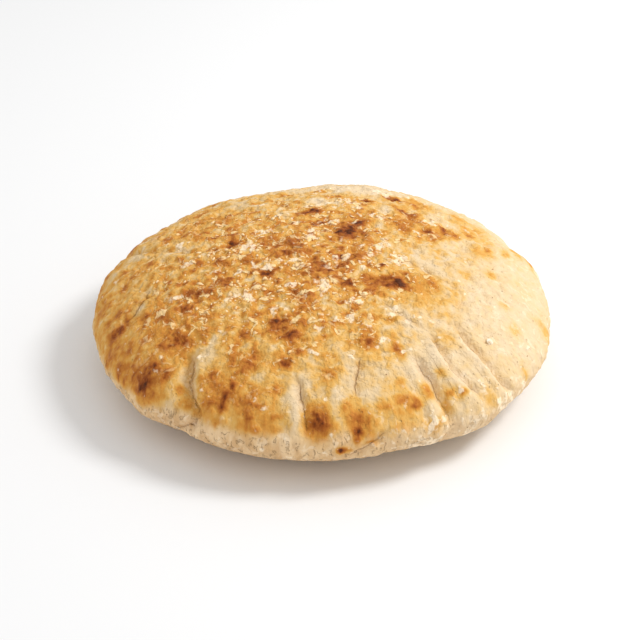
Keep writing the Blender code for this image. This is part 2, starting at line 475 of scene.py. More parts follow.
# %% The shades: angle, arc, half length and half width in mm, change of toast
WIDE_SHADES = (
    (60, 0.75, 18, 22, 0.07), (75, 0.48, 6, 22, -0.1), (85, 0.42, 5, 14, -0.08),
    (90, 0.78, 18, 22, 0.07), (122, 0.8, 18, 20, 0.05), (170, 0.57, 12, 7, -0.12),
    (205, 0.45, 8, 14, 0.07), (230, 0.98, 7, 12, -0.05), (233, 0.76, 11, 4, -0.18),
    (243, 0.62, 10, 10, -0.04), (278, 0.66, 14, 13, -0.11), (302, 0.66, 16, 12, -0.14),
    (330, 0.7, 22, 20, -0.08),
)
CROWN_SHADES = (
    (165, 0.13, 2.4, 3, -0.12), (64, 0.16, 2, 3, -0.12), (72, 0.24, 3, 4, -0.08),
    (255.4, 0.25, 2.4, 3, 0.08), (316.3, 0.16, 2, 2.6, -0.12), (341, 0.29, 2.6, 3, -0.1),
    (112.7, 0.23, 3, 4, -0.06), (8, 0.28, 3, 3, -0.14), (30, 0.13, 2.5, 3, 0.12),
    (36.9, 0.196, 2.6, 3, -0.32), (39, 0.222, 3, 4, -0.09), (86.5, 0.27, 2.7, 3.5, -0.16),
    (93.2, 0.29, 3.6, 4.6, -0.2), (114.1, 0.222, 3, 4, -0.16), (127, 0.21, 3, 3, -0.12),
    (176.6, 0.231, 3, 4, 0.06), (177, 0.17, 2.5, 3, 0.12), (248.8, 0.265, 2.2, 2.2, -0.24),
    (256.8, 0.256, 2.7, 3, 0.11), (259, 0.18, 2.4, 2.4, 0.2), (266, 0.14, 2.5, 3, 0.16),
    (273, 0.08, 2, 3, 0.2), (282, 0.16, 2.5, 2.5, 0.16), (285, 0.27, 2, 2.4, 0.12),
    (301.1, 0.075, 2, 2.3, 0.26), (324, 0.18, 2.4, 3, 0.12), (346, 0.24, 9, 8, -0.19),
    (358, 0.28, 3, 3, -0.14),
)
BACK_AND_RIGHT_SHADES = (
    (37.6, 0.34, 2, 3, -0.1), (12, 0.37, 3, 4, -0.07), (6, 0.347, 4, 5, -0.08), (10, 0.35, 3, 4, -0.12),
    (17, 0.4, 3, 4, -0.07), (26, 0.54, 6, 7, 0.17), (27, 0.51, 3.4, 6, 0.08), (28, 0.61, 4, 5, 0.08),
    (29.5, 0.49, 3, 4, 0.08), (30.7, 0.38, 3.1, 4, -0.52), (52.8, 0.314, 3.7, 4.7, -0.25),
    (56, 0.335, 3.4, 5, -0.11), (65.1, 0.45, 3, 4.6, -0.48), (75, 0.34, 3, 5, -0.08),
    (86, 0.41, 3, 6, -0.17), (87, 0.325, 3.4, 6, -0.11), (96.4, 0.308, 3, 4, -0.08),
    (122, 0.4, 3, 5, -0.08), (127, 0.44, 3, 5, -0.12), (130, 0.38, 3, 4, -0.12),
    (342, 0.31, 3, 3, -0.26), (346, 0.43, 4, 4, -0.08), (351, 0.345, 4, 5, -0.13),
    (355, 0.3, 3, 4, -0.08),
)
FRONT_SHADES = (
    (272.8, 0.45, 2.4, 2.4, -0.12), (246.2, 0.3, 2, 2.2, 0.08), (247.5, 0.38, 2, 2, -0.1),
    (284.8, 0.604, 3, 3, -0.08), (250.3, 0.872, 2.6, 3, -0.07), (236, 0.61, 4, 2.4, -0.1),
    (237, 0.38, 3, 3, -0.1), (238, 0.85, 4, 2.4, -0.08), (240, 0.52, 2, 2, 0.1),
    (242, 0.69, 2.4, 2, 0.1), (243, 0.62, 2, 2, -0.12), (244.8, 0.51, 2.2, 2.2, -0.26),
    (247, 0.355, 2.4, 2.4, -0.14), (248, 0.302, 2.7, 2.7, 0.16), (250, 0.875, 3, 4, -0.08),
    (252, 0.62, 3, 2.2, -0.12), (252.5, 0.59, 3, 3, -0.18), (253, 0.495, 2.6, 2.2, -0.26),
    (255, 0.86, 2, 2, 0.1), (257, 0.54, 2, 2, 0.12), (258.7, 0.345, 2.3, 2.3, 0.18),
    (260, 0.62, 3, 3, -0.12), (261, 0.52, 2.4, 2.4, -0.12), (261, 0.67, 2.4, 2, -0.14),
    (262, 0.64, 9, 9, -0.06), (262.3, 0.42, 2, 2, -0.1), (263.5, 0.72, 9, 3, -0.24),
    (265, 0.82, 4, 2.4, -0.1), (265.8, 0.71, 5, 2.2, 0.05), (268, 0.577, 2.6, 2.6, -0.08),
    (268.5, 0.69, 2.5, 2.4, -0.2), (271, 0.32, 3, 3, -0.12), (273.5, 0.74, 8, 2.2, -0.3),
    (276.2, 0.737, 2.5, 2, 0.22), (278.4, 0.5, 2.4, 2.4, -0.12), (278.4, 0.59, 3, 2.4, -0.12),
    (281, 0.7, 3.4, 2, -0.22), (283.5, 0.78, 6, 2, -0.16), (284, 1.1, 4, 6, 0.06),
    (285, 0.74, 2, 1.8, 0.12), (290, 0.47, 3, 2.4, -0.16), (295.3, 0.66, 3, 2, -0.12),
    (296, 0.54, 3, 3, -0.1), (297, 0.82, 3, 2, -0.14), (300, 0.63, 7, 4, -0.06),
    (303, 0.39, 5, 3.4, -0.2), (305.5, 0.37, 5, 2.4, -0.16), (303, 0.88, 3, 3, -0.1),
    (304, 0.66, 2.4, 2, -0.08), (312, 0.4, 4, 4, -0.1),
)
LEFT_SHADES = (
    (199.5, 0.6, 2.6, 1.8, -0.32), (178, 0.76, 4, 4, -0.12), (222.6, 0.3, 2.2, 2.4, -0.1),
    (227.1, 0.45, 2.2, 2.4, -0.1), (195, 0.56, 3, 2, -0.1), (196, 0.95, 4, 4, -0.08),
    (199, 0.48, 2.4, 2.4, -0.08), (213, 1.05, 4, 4, -0.06), (148, 0.44, 3, 4, -0.12),
    (163, 0.65, 4, 5, -0.1), (170, 0.44, 4, 5, -0.1), (175, 0.39, 4, 4, -0.13), (175, 0.7, 4, 4, -0.1),
    (176, 0.76, 4, 4, -0.12), (181, 0.47, 3, 3, -0.12), (185.3, 0.56, 3, 3, -0.16),
    (190, 0.47, 3, 3, -0.12), (190, 0.65, 3, 3, -0.1), (191, 0.37, 3, 3, -0.08),
    (192, 0.59, 6, 4, -0.14), (193, 0.9, 5, 4, -0.12), (194, 0.355, 3, 3, -0.05),
    (194, 0.42, 3, 3, -0.12), (200, 0.49, 3, 3, -0.1), (202.5, 0.6, 2.4, 2, -0.11),
    (207, 0.48, 4, 3, -0.14), (210, 0.386, 3, 3, 0.07), (211, 1.08, 4, 6, -0.08),
    (212.3, 1.007, 3.6, 3, -0.28), (213, 0.36, 3, 3, 0.14), (213, 0.77, 4, 4, 0.05),
    (216.5, 0.514, 3, 3, 0.14), (218, 0.66, 3, 3, -0.14), (218.6, 0.38, 2.4, 2.4, -0.08),
    (221, 0.34, 2.4, 3, -0.18), (224, 0.7, 5, 2.4, -0.1), (226.4, 0.635, 4, 4, -0.04),
    (226.5, 0.45, 2.4, 2.6, -0.11), (227, 0.78, 3, 2.4, -0.12), (228, 0.387, 3, 3, 0.06),
    (230, 0.315, 2.4, 2.4, -0.2), (230.2, 0.595, 2.7, 2, -0.2), (231, 0.7, 6, 3, -0.12),
    (233.5, 0.53, 6, 2.4, -0.26), (234, 0.83, 6, 4.5, -0.22),
)
SMALL_SHADES = CROWN_SHADES + BACK_AND_RIGHT_SHADES + FRONT_SHADES + LEFT_SHADES
# Near the creases some small shades are painted shade, and some are painted light over the relief's shade
for angle, arc, long, wide, change in WIDE_SHADES + SMALL_SHADES:
    toast += change * patch(angle, arc, long, wide)
print(f"{len(WIDE_SHADES)} wide shades and {len(SMALL_SHADES)} small ones")

# %% The rim, the base and the unevenness
TAN_SIDE = 235  # degrees, where the band of plain dough is darkest
BLOTCHY_SIDE = 130  # degrees, where the side is as blotchy as the top
EVEN_SIDE = 205  # degrees, where the heat was most even
MOST_TOAST = 0.74  # only spots are browner than this
base_toast = 0.30 + 0.16 * waves(14.0, seed=12, rounds=2)
# The lips of the paler creases get less toast, which paints a highlight along their ridges
toast = (toast - 0.12 * lip_highlight) * (1 - 0.8 * ramp(arcs, edge - 0.03, edge + 0.07))
toast += base_toast * ramp(arcs + 0.10 * waves(12.0, seed=16, rounds=2), 1.65, 2.15)
tan = ramp(arcs, edge - 0.05, edge + 0.08) * (0.2 + 0.8 * turned(TAN_SIDE) ** 2)
tan *= 1 - ramp(arcs, 1.8, 2.1)
uneven = 0.3 * waves(8.0, seed=13) + 1.3 * waves(4.2, seed=14, rounds=2) + 1.1 * waves(2.4, seed=15)
blotchiness = 1 - 0.40 * ramp(arcs, 0.28, 0.52) * (1 - turned(BLOTCHY_SIDE) ** 3)
blotchiness *= 1 - 0.30 * ramp(arcs, 0.40, 0.60) * turned(EVEN_SIDE) ** 6
toast = toast + 0.35 * blotchiness * uneven * (0.10 + 1.9 * toast) - 0.01
toast = np.clip(toast, 0, MOST_TOAST)
print(f"toast before the spots: mean {toast.mean():.2f}, most {toast.max():.2f}")

# %% [markdown]
# The spots come where blisters stood up and caught the heat. The worst are nearly black and sit in
# a soft brown ring. Each is a patch with its own toast, and it never makes a place paler. They are
# grouped by where they lie. A blister near the rim is stretched down the side. The back and the
# base, which have spots like everything else, get theirs by seeded chance. What is said above
# about the lists of places holds for this one too.

# %% The spots: angle, arc, half length and half width in mm, toast
CROWN_SPOTS = (
    (260.5, 0.31, 1.2, 1.3, 0.68), (105.5, 0.42, 1, 2.8, 0.6), (237.2, 0.26, 1.5, 1.7, 0.6),
    (330.3, 0.27, 1.4, 1.8, 0.6), (162.4, 0.26, 1.5, 2.2, 0.66), (52, 0.078, 2.6, 1.6, 1),
    (47, 0.115, 2.6, 1.8, 1), (50, 0.165, 2.4, 1.2, 0.94), (49, 0.12, 5.2, 2.8, 0.74),
    (101, 0.206, 1.4, 3.2, 0.84), (94.5, 0.212, 1, 1.4, 0.96), (97.6, 0.185, 1, 1.6, 0.58),
    (90, 0.131, 1, 1.2, 0.82), (224, 0.204, 1.6, 1.9, 0.95), (205, 0.105, 1.5, 1.8, 0.84),
    (170, 0.087, 3, 3, 0.68), (226, 0.055, 1.8, 1.8, 0.78), (150, 0.29, 1.4, 2.4, 0.62),
    (204, 0.083, 2.8, 3.6, 0.66), (171, 0.254, 2, 2.4, 0.8), (168, 0.15, 3, 3.2, 0.58),
    (185, 0.12, 2.2, 2.2, 0.66), (321, 0.11, 1.2, 1.5, 0.88), (327, 0.119, 2, 3, 0.68),
    (296, 0.123, 1.5, 2.2, 0.68), (270, 0.116, 3, 3.6, 0.74), (282.5, 0.17, 2, 2.4, 0.74),
    (294, 0.15, 1.6, 2, 0.6), (289.5, 0.209, 1.8, 2, 0.84), (307, 0.216, 1.7, 2.6, 0.72),
    (311.5, 0.247, 1.9, 3, 0.8), (318.5, 0.264, 1.9, 2.4, 1), (319, 0.29, 1.5, 1.7, 0.92),
    (8, 0.13, 2.2, 3, 0.54), (149, 0.09, 1.5, 2, 0.62), (66.5, 0.29, 1.3, 2.4, 0.55),
    (270, 0.14, 1.3, 1.8, 0.8), (140.6, 0.29, 1.2, 2.2, 0.6), (61, 0.215, 1.8, 2.8, 0.56),
    (345, 0.1, 2, 3, 0.56), (262, 0.29, 3, 3, 0.58), (199, 0.21, 1.8, 3, 0.64), (242, 0.17, 2, 3, 0.58),
    (82, 0.342, 1, 2.5, 0.66),
)
RIGHT_SPOTS = (
    (334.7, 0.69, 2, 2, 0.22), (18.3, 0.56, 2.2, 2.8, 0.26), (21, 0.335, 1.5, 1.7, 0.82),
    (28, 0.26, 2, 2.4, 0.62), (31, 0.136, 1.8, 2.3, 0.75), (27, 0.09, 1.4, 1.8, 0.78),
    (24, 0.4, 1.1, 2.8, 0.86), (67, 0.337, 1.1, 3, 0.82), (57.5, 0.425, 1.2, 3.4, 0.88),
    (47, 0.355, 1.3, 4, 0.7), (41.5, 0.35, 1.7, 3, 0.74), (14.7, 0.33, 1.3, 2.2, 0.6),
    (35, 0.277, 3.2, 4, 0.58), (32, 0.344, 2.4, 3.4, 0.56), (92, 0.42, 1.5, 3, 0.55),
    (47.8, 0.43, 1.2, 2.8, 0.58), (19, 0.42, 2, 2, 0.66), (20.4, 0.49, 1.5, 2.2, 0.58),
    (17.5, 0.35, 2, 3, 0.58), (50, 0.48, 2.6, 5, 0.44), (8.5, 0.48, 2.2, 3, 0.36),
    (331, 0.345, 1.8, 1.8, 0.56), (326, 0.32, 6, 6, 0.42), (348, 0.42, 1.6, 1.6, 0.3),
    (10.5, 0.53, 1.3, 3, 0.45), (354.5, 0.52, 1.5, 1.5, 0.35), (342, 0.6, 1.2, 1, 0.24),
    (345, 0.85, 3, 1.5, 0.24), (328.5, 0.93, 2.8, 1, 0.28), (346.5, 0.95, 3.5, 1.2, 0.32),
    (17, 0.8, 1, 5, 0.65), (17, 0.7, 1.5, 3, 0.36), (12, 0.62, 1.5, 2, 0.34), (35, 0.55, 2, 3, 0.4),
)
FRONT_SPOTS = (
    (286.9, 0.4, 1.4, 1.5, 0.6), (269.8, 0.865, 1, 1.1, 0.6), (283.4, 0.84, 1.7, 1.5, 0.36),
    (254.5, 0.86, 1.5, 1.5, 0.56), (284.8, 0.74, 1.4, 1.4, 0.44), (251.5, 0.375, 1.9, 2, 0.97),
    (252, 0.38, 2.8, 2.6, 0.74), (258.5, 0.415, 2, 2.1, 0.88), (287, 0.46, 1.5, 1.6, 0.86),
    (287, 0.455, 2.4, 2.6, 0.6), (294.5, 0.505, 2.4, 1, 0.78), (264.5, 0.26, 1.6, 1.8, 0.7),
    (256, 0.26, 1.7, 2, 0.62), (262, 0.48, 1.3, 1.3, 0.7), (258.6, 0.54, 1.6, 1.7, 0.88),
    (241.5, 0.452, 1.6, 1.6, 0.72), (243, 0.57, 2.2, 2.2, 0.6), (248, 0.575, 2.2, 2, 0.66),
    (249, 0.525, 1.8, 1.5, 0.7), (272.4, 0.568, 2.2, 2.3, 0.55), (246, 0.68, 2.2, 1.3, 0.93),
    (241.2, 0.69, 1.3, 1.3, 0.7), (299, 0.05, 1.5, 2, 0.6), (194, 0.14, 1.4, 2, 0.62),
    (262.3, 0.36, 1.5, 1.7, 0.66), (226, 0.18, 1.4, 1.8, 0.74), (251.7, 0.7, 3, 2, 0.56),
    (258, 0.65, 2.4, 2, 0.5), (240, 0.658, 1.2, 1.3, 0.74), (256.6, 0.84, 2.4, 2.4, 0.44),
    (245.5, 0.732, 1.6, 1.3, 0.84), (245.5, 0.79, 1.9, 1.6, 0.8), (242, 0.787, 2.2, 2.2, 0.56),
    (252.4, 0.82, 2.8, 1.1, 0.66), (251, 0.76, 2.4, 2.2, 0.56), (269.2, 0.795, 3.6, 2.1, 0.9),
    (268.9, 0.8, 3.4, 1.9, 0.76), (278.3, 0.81, 2.8, 2.1, 0.67), (278.4, 0.86, 2.3, 1.3, 0.92),
    (273.6, 0.83, 1.6, 1.2, 0.42), (276.4, 0.992, 0.6, 1.5, 0.44), (276.4, 0.73, 1.8, 1.4, 0.52),
    (288.3, 0.86, 1.2, 1.4, 0.36), (289, 0.78, 1.2, 1.6, 0.42), (280.5, 0.8, 3.4, 1.6, 0.54),
    (291, 0.722, 1.5, 1.8, 0.58), (294, 0.759, 1.5, 1.8, 0.62), (298, 0.709, 1.8, 1.6, 0.54),
    (286, 0.737, 1.4, 1.6, 0.42), (290.5, 0.883, 2.6, 1.8, 0.34), (297.5, 0.913, 2.2, 3.2, 0.32),
    (303, 0.655, 1.2, 1, 0.42), (303, 0.762, 0.9, 1.2, 0.52), (306.5, 0.781, 0.9, 1.5, 0.52),
    (301.5, 0.816, 1.8, 1.2, 0.38), (313, 0.533, 2, 2, 0.36), (299, 0.389, 1.2, 2, 0.5),
    (291, 0.64, 1, 1.6, 0.42), (313.5, 0.883, 2.2, 1.2, 0.3), (281.5, 0.95, 0.7, 1.8, 0.5),
    (274, 1, 0.7, 0.7, 1.15),
)
LEFT_SPOTS = (
    (225.7, 0.56, 1.5, 1.7, 0.62), (202.5, 0.32, 1.4, 2, 0.66), (222, 0.84, 3, 2.8, 0.86),
    (221.5, 0.83, 5.2, 5, 0.66), (223, 0.732, 2.2, 1.8, 0.78), (227, 0.746, 1.5, 1, 0.84),
    (202, 0.735, 2.4, 1.6, 0.86), (202.5, 0.787, 2.4, 1.3, 0.76), (195.5, 0.71, 2, 1.6, 0.62),
    (223, 0.579, 2.2, 3.3, 0.76), (221.5, 0.63, 2.2, 2.6, 0.7), (232.5, 0.773, 1.4, 1.3, 0.62),
    (235.5, 0.834, 1.6, 1.6, 0.44), (206.5, 0.826, 2.2, 1.4, 0.62), (211, 0.557, 1.2, 1.2, 0.66),
    (214, 0.55, 1, 1, 0.66), (206, 0.595, 1.3, 1.3, 0.62), (213, 0.475, 2.2, 2.2, 0.72),
    (207, 0.419, 2.4, 2.6, 0.7), (211, 0.32, 2, 2.6, 0.62), (212, 0.37, 2.2, 2.2, 0.76),
    (192, 0.295, 1.4, 3, 0.66), (188, 0.354, 1.5, 2.4, 0.64), (178, 0.534, 1.2, 2.4, 0.68),
    (212, 0.907, 1.8, 1, 0.76), (215, 0.925, 1.6, 0.9, 0.66), (205, 0.93, 2.5, 1.2, 0.62),
    (149, 0.45, 2.6, 4.6, 0.48), (160, 0.28, 1.4, 2.4, 0.6), (145, 0.36, 2.4, 4, 0.56),
    (140, 0.51, 2, 4, 0.52), (160, 0.431, 2.4, 3, 0.46), (164.5, 0.378, 2.2, 2.6, 0.56),
    (163, 0.5, 1.8, 2.8, 0.58), (222.5, 0.45, 2, 2.4, 0.56), (182, 0.88, 3, 1.4, 0.52),
    (159, 0.7, 1.2, 5, 0.66), (234.5, 0.85, 1.5, 1.5, 0.42), (188, 0.8, 3, 1.2, 0.5),
)
print(len(CROWN_SPOTS) + len(RIGHT_SPOTS) + len(FRONT_SPOTS) + len(LEFT_SPOTS), "spots have their own place")

# %% Spots by chance on the back and the base, and all their toast
CHANCE_SPOTS = 46
RING = 0.6  # strength of the brown ring
RING_TOAST = 0.72  # its toast, as a share of its spot's
chance = np.random.default_rng(7)
hidden_spots = []
for number in range(CHANCE_SPOTS):
    on_base = number % 2
    arc = chance.uniform(1.9, 2.9) if on_base else chance.uniform(0.7, 1.5)
    angle = chance.uniform(0, 360) if on_base else chance.uniform(30, 150)
    size = chance.uniform(1.2, 3.6)
    hidden_spots.append((angle, arc, size, size * chance.uniform(0.7, 1.4), chance.uniform(0.45, 0.85)))
all_spots = CROWN_SPOTS + RIGHT_SPOTS + FRONT_SPOTS + LEFT_SPOTS + tuple(hidden_spots)
for angle, arc, long, wide, brown in all_spots:
    ring = RING * patch(angle, arc, 1.5 * long + 0.8, 1.5 * wide + 0.8)
    toast += ring * np.maximum(RING_TOAST * brown - toast, 0)
    toast += patch(angle, arc, long, wide) * np.maximum(brown - toast, 0)
print(f"{len(all_spots)} spots; {np.mean(toast > 0.7):.1%} of the points are dark brown or burnt")

# %% [markdown]
# ## Flour
#
# The dough was rolled out on flour, and what wasn't brushed off baked on as pale, chalky dabs. Where
# flour lies, it keeps the heat off, so it shows best on golden skin. Some more of it clings to the
# wrinkles of the front rim, and the base has a thin film of it. Most places in the list of dabs,
# too, are another program's work.

# %% Dabs of flour: angle, arc, half length and half width in mm, amount
DABS = (
    (302.7, 0.1, 1.2, 1.5, 0.85), (185.6, 0.38, 1.3, 1.7, 0.8), (261.1, 0.26, 1, 1.2, 0.8),
    (128.3, 0.33, 1.4, 2.2, 0.8), (206.2, 0.25, 1.2, 1.6, 0.9), (296.7, 0.52, 1.3, 1.4, 0.8),
    (228, 0.15, 1, 1.5, 0.7), (63, 0.15, 0.9, 1.7, 0.7), (46, 0.243, 2.2, 3, 0.65),
    (48.5, 0.26, 1.2, 2.2, 0.7), (57, 0.21, 0.9, 1.6, 0.7), (73, 0.266, 1.8, 3.6, 0.6),
    (84, 0.15, 1.3, 2.2, 0.85), (86, 0.285, 2.2, 4, 0.7), (97.5, 0.255, 1.2, 2.5, 0.95),
    (98.5, 0.11, 1.2, 2, 0.95), (108, 0.079, 1.6, 2.2, 0.8), (113, 0.225, 1.8, 3, 0.6),
    (115, 0.19, 0.9, 1.6, 0.6), (117, 0.15, 1.1, 2, 0.85), (125, 0.22, 1.2, 1.8, 0.7),
    (130, 0.046, 1.8, 1.7, 0.85), (154.5, 0.189, 2, 2.2, 0.95), (177.3, 0.2, 1.6, 2.3, 0.9),
    (206, 0.2, 1.1, 1.5, 0.75), (215, 0.2, 1.8, 2.6, 1), (225, 0.135, 1.4, 3.4, 0.75),
    (232, 0.114, 1.9, 3, 0.9), (246.6, 0.22, 1.4, 1.6, 0.95), (270, 0.215, 2.6, 1.8, 0.85),
    (283.3, 0.11, 1.4, 2.2, 1), (287.5, 0.29, 2, 2.2, 0.85), (310, 0.092, 1.1, 3.2, 1),
    (316.5, 0.15, 1.2, 1.8, 0.8), (340, 0.215, 2.8, 3.2, 0.95), (345, 0.15, 1.5, 2, 0.9),
    (349, 0.11, 0.9, 1.4, 0.75), (355, 0.168, 2.4, 2.6, 0.85), (20, 0.3, 2.2, 2.6, 0.6),
    (30.2, 0.38, 2, 2.6, 0.85), (60, 0.5, 4, 7, 0.45), (65.4, 0.45, 2.2, 4, 1), (75, 0.3, 2.2, 7, 0.6),
    (85, 0.43, 2.2, 9, 0.45), (326, 1.07, 2.2, 2.4, 0.9), (341.8, 0.3, 1.5, 1.8, 0.75),
    (245.4, 0.33, 1.2, 1.5, 0.85), (248, 0.32, 2, 2.2, 0.5), (263.5, 0.71, 7, 2, 0.12),
    (266.5, 0.48, 1.3, 1.6, 0.75), (269.3, 0.33, 1.4, 1.7, 1), (269.3, 0.385, 1.3, 1.5, 0.6),
    (271.4, 0.72, 1.6, 1.2, 0.5), (278.4, 0.495, 1.6, 1.8, 0.6), (278.4, 0.35, 1.2, 1.6, 0.65),
    (282, 0.35, 1.3, 1.7, 0.75), (290, 0.46, 2, 1.6, 0.55), (291, 0.38, 2.2, 2.6, 0.45),
    (293, 1.15, 3, 3, 0.8), (297, 1.15, 5, 6, 0.4), (303, 0.365, 2.2, 2, 0.8),
    (306.6, 0.41, 2, 2.2, 0.7), (304.6, 0.33, 1.4, 1.8, 0.75), (306, 0.76, 1.4, 1.1, 0.8),
    (308, 1.12, 3, 3, 0.7), (310, 0.42, 2.6, 2.6, 0.45), (317, 0.98, 2, 2, 0.85),
    (320, 1.12, 3, 3, 0.95), (170, 0.44, 1.8, 2.2, 1), (205.3, 0.48, 1.3, 1.7, 0.75),
    (221.8, 0.34, 1.7, 2.2, 0.95), (230.5, 0.315, 2, 2.2, 1), (232, 0.6, 2, 1.6, 0.5),
    (234, 0.525, 4.4, 2, 0.4), (234, 0.47, 1.3, 1.5, 0.75),
)
FLOURY_SIDE = 290  # degrees, where flour clings to the wrinkles of the rim
flour = 0.04 * (1 - ramp(arcs, 0.30, 0.60)) + 0.12 * waves(7.0, seed=21, rounds=2)
for angle, arc, long, wide, amount in DABS:
    flour = np.maximum(flour, 0.8 * amount * patch(angle, arc, 1.4 * long, 1.4 * wide, fray=1.6))
flour += 0.45 * ramp(wrinkles, 0.1, 0.5) * near_rim * turned(FLOURY_SIDE) ** 3
flour += 0.30 * ramp(arcs, 1.8, 2.2)
print(f"{len(DABS)} dabs of flour; {np.mean(flour > 0.5):.1%} of the skin is floury")

# %% [markdown]
# Materials can't see the numbers above, so each one that they need is stored on the skin, at every
# point, under a plain name. "Blistered" is where the top was lifted by steam: it says where grain is
# coarse and where bright flecks, which are painted highlights, come. It reaches furthest down at the
# left.

# %% Keep the masks on the skin
BLISTERED_SIDE = 215  # degrees, where blisters reach furthest down


def keep(name, values):
    """Stores one number for each point, which materials read by its name."""
    layer = crust.data.attributes.new(name, "FLOAT", "POINT")
    layer.data.foreach_set("value", values.astype(np.float32))


reach = turned(BLISTERED_SIDE)
keep("toast", toast)
keep("blistered", 1 - ramp(arcs, 0.22 + 0.20 * reach, 0.60 + 0.32 * reach))
keep("tan", tan)
keep("flour", flour)
keep("crease gap", crease_gap)
keep("crease share", crease_share)
print("masks on the skin:", [layer.name for layer in crust.data.attributes if layer.data_type == "FLOAT"])


# %% [markdown]
# ## Shared shader pieces
#
# Flour, bran, crumb and crust are all the same dough, so they share three effects, each built once
# as a node group. "Grain" is soft noise with its size in millimetres, and its warp bends it into
# folds. "Pores" are the pinholes that bubbles leave. "Flour dust" turns an amount into ragged dabs.
# `add` makes one node, sets its plain values and links its other sockets, which keeps the materials
# short enough to read.

# %% A helper and three node groups
def add(tree, kind, inputs=None, **settings):
    """Adds a node. Inputs are plain values or other nodes' outputs, by socket name or number."""
    made = tree.nodes.new("ShaderNode" + kind)
    for name, value in settings.items():
        setattr(made, name, value)
    for socket, value in (inputs or {}).items():
        if isinstance(value, bpy.types.NodeSocket):
            tree.links.new(value, made.inputs[socket])
        else:
            made.inputs[socket].default_value = value
    return made


def calc(tree, operation, *values):
    """The result of one Math node."""
    return add(tree, "Math", dict(enumerate(values)), operation=operation).outputs[0]


def step(tree, value, start, end):
    """0 at start, 1 at end, and a soft step between them."""
    limits = {"Value": value, "From Min": start, "From Max": end}
    return add(tree, "MapRange", limits, interpolation_type="SMOOTHSTEP").outputs["Result"]


def fall(tree, value, start, end):
    """1 at start, 0 at end, and a soft step between them."""
    return calc(tree, "SUBTRACT", 1.0, step(tree, value, start, end))


def tint(tree, share, below, above):
    """One colour laid over another by its share."""
    return add(tree, "Mix", {0: share, 6: below, 7: above}, data_type="RGBA").outputs[2]


def new_group(name, inputs, outputs):
    tree = bpy.data.node_groups.new(name, "ShaderNodeTree")
    for title, value in inputs.items():
        kind = "NodeSocketVector" if value is None else "NodeSocketFloat"
        socket = tree.interface.new_socket(title, in_out="INPUT", socket_type=kind)
        if value is not None:
            socket.default_value = value
    for title in outputs:
        tree.interface.new_socket(title, in_out="OUTPUT", socket_type="NodeSocketFloat")
    return tree, tree.nodes.new("NodeGroupInput").outputs, tree.nodes.new("NodeGroupOutput").inputs


def use(tree, group, **inputs):
    """Places a node group in a material and gives back its outputs."""
    made = tree.nodes.new("ShaderNodeGroup")
    made.node_tree = group
    for name, value in inputs.items():
        if isinstance(value, bpy.types.NodeSocket):
            tree.links.new(value, made.inputs[name])
        else:
            made.inputs[name].default_value = value
    return made.outputs


def make_grain():
    inputs = {"Place": None, "Size": 1.0, "Detail": 2.0, "Warp": 0.0}
    tree, given, result = new_group("grain", inputs, ["Value"])
    scale = calc(tree, "DIVIDE", 1 / MM, given["Size"])
    soft = add(tree, "TexNoise", {"Vector": given["Place"], "Scale": scale, "Detail": given["Detail"],
                                  "Distortion": given["Warp"]})
    tree.links.new(calc(tree, "SUBTRACT", soft.outputs["Fac"], 0.5), result["Value"])
    return tree


def make_pores():
    tree, given, result = new_group("pores", {"Place": None, "Size": 1.0, "Amount": 0.5}, ["Mask"])
    scale = calc(tree, "DIVIDE", 1 / MM, given["Size"])
    cells = add(tree, "TexVoronoi", {"Vector": given["Place"], "Scale": scale})
    chosen = calc(tree, "LESS_THAN", add(tree, "SeparateColor", {0: cells.outputs["Color"]}).outputs[0],
                  given["Amount"])
    hole = fall(tree, cells.outputs["Distance"], 0.10, 0.30)
    tree.links.new(calc(tree, "MULTIPLY", hole, chosen), result["Mask"])
    return tree


def make_flour_dust():
    inputs = {"Place": None, "Size": 1.0, "Amount": 0.5}
    tree, given, result = new_group("flour dust", inputs, ["Mask"])
    soft = use(tree, GRAIN, Place=given["Place"], Size=given["Size"], Detail=2.0)
    ragged = calc(tree, "MULTIPLY_ADD", soft["Value"], 2.4, given["Amount"])
    tree.links.new(step(tree, ragged, 0.40, 0.80), result["Mask"])
    return tree


GRAIN = make_grain()
PORES = make_pores()
FLOUR_DUST = make_flour_dust()
print("node groups:", [group.name for group in bpy.data.node_groups])

# %% [markdown]
# ## The crust
#
# The toast number runs through a colour ramp, from cream through straw and gold to brown and black.
# Before that, grain of two sizes is added to it, most where the crust is brown, so that no spot has
# a smooth edge. The crust could be painted by hand instead, but a ramp keeps every shade of it in
# the same family, as heat does.

# %% The crust's colours
TOAST_COLOURS = (
    (0.00, shade(229, 204, 167)), (0.12, shade(227, 194, 142)), (0.26, shade(224, 175, 95)),
    (0.40, shade(214, 151, 66)), (0.54, shade(196, 125, 48)), (0.68, shade(171, 99, 35)),
    (0.82, shade(140, 70, 18)), (0.94, shade(106, 50, 13)), (1.00, shade(84, 40, 15)),
)
TAN = (shade(240, 205, 160), shade(216, 173, 123))
FLOUR_WHITE = shade(254, 232, 200)
# The colour of the painted highlights on the tops of blisters
GLINT_COLOUR = shade(255, 226, 168)
PORE = shade(176, 138, 92)
# The colour of the painted shade in the creases
CREASE_SHADE = shade(146, 84, 30)


def toast_ramp(tree, value):
    ramp_node = add(tree, "ValToRGB", {0: value})
    stops = ramp_node.color_ramp.elements
    while len(stops) < len(TOAST_COLOURS):
        stops.new(0.5)
    for stop, (position, colour) in zip(stops, TOAST_COLOURS):
        stop.position = position
        stop.color = colour
    return ramp_node.outputs["Color"]


def kept(tree, name, output="Fac"):
    """A mask that is stored on the skin."""
    return add(tree, "Attribute", attribute_name=name).outputs[output]


